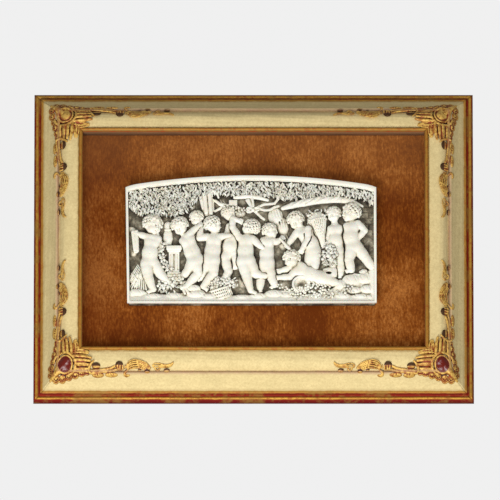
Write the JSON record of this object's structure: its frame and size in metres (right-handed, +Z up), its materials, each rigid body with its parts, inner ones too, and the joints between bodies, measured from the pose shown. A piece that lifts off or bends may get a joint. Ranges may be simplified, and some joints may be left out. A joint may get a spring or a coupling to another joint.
{
  "type": "framed relief plaque",
  "caption": "Carved ivory relief of dancing putti under foliage, with an arched top, mounted on velvet in a cream and gilt frame with leafy corner ornaments.",
  "frame": {"origin": "the hanging point, on the middle of the top rail's flat back, 18 mm below the frame's top edge", "axes": "+Z up, +X to the viewer's right, -Y towards the viewer; the wall is the plane y = 0"},
  "size_m": [0.376, 0.0362, 0.278],
  "materials": {
    "frame_finish": "aged cream paint with gilt edges over red bole, rubbed",
    "gilt_ornament": "worn gold leaf with red bole in the hollows",
    "board": "bare brown board",
    "velvet": "rust-brown short pile",
    "ivory": "polished cream ivory with dark brown patina in the recesses"
  },
  "bodies": {
    "root": {"rail_top": "frame_finish", "rail_bottom": "frame_finish", "rail_left": "frame_finish", "rail_right": "frame_finish", "corner_ornament_top_left": "gilt_ornament", "corner_ornament_top_right": "gilt_ornament", "corner_ornament_bottom_left": "gilt_ornament", "corner_ornament_bottom_right": "gilt_ornament", "mount_board": "board", "velvet_cover": "velvet", "ivory_plaque": "ivory"}
  },
  "joints": []
}
